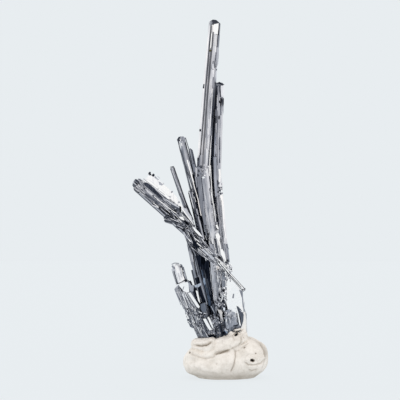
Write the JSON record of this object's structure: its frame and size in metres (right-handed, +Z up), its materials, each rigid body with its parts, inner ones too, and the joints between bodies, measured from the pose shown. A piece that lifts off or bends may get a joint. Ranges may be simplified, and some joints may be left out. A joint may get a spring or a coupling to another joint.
{
  "type": "stibnite crystal spray",
  "caption": "Upright spray of long striated metallic stibnite crystals with a feathered needle sheaf, standing in a lump of cream mounting putty.",
  "frame": {"origin": "on the resting plane under the putty, below the middle of the spray's outline", "axes": "+Z up along the spray, +X to the viewer's right, -Y towards the viewer"},
  "size_m": [0.0574, 0.0288, 0.1495],
  "materials": {
    "stibnite_grey": "lead-grey metallic lustre, striated lengthwise",
    "stibnite_bright": "bright steel-grey metallic lustre, fresh cleavage",
    "stibnite_dark": "dark blue-grey metallic lustre, broken",
    "putty": "matt, kneaded by hand"
  },
  "bodies": {
    "root": {"putty_lump": "putty", "root_cluster": "stibnite_dark", "tall_crystal": "stibnite_grey", "right_crystal": "stibnite_grey", "left_blade": "stibnite_grey", "left_needle": "stibnite_grey", "short_crystal": "stibnite_dark", "left_column": "stibnite_dark", "back_blade": "stibnite_dark", "lower_left_crystal": "stibnite_bright", "broad_crystal": "stibnite_bright", "feathered_bundle": "stibnite_bright", "right_needle": "stibnite_bright"}
  },
  "joints": []
}
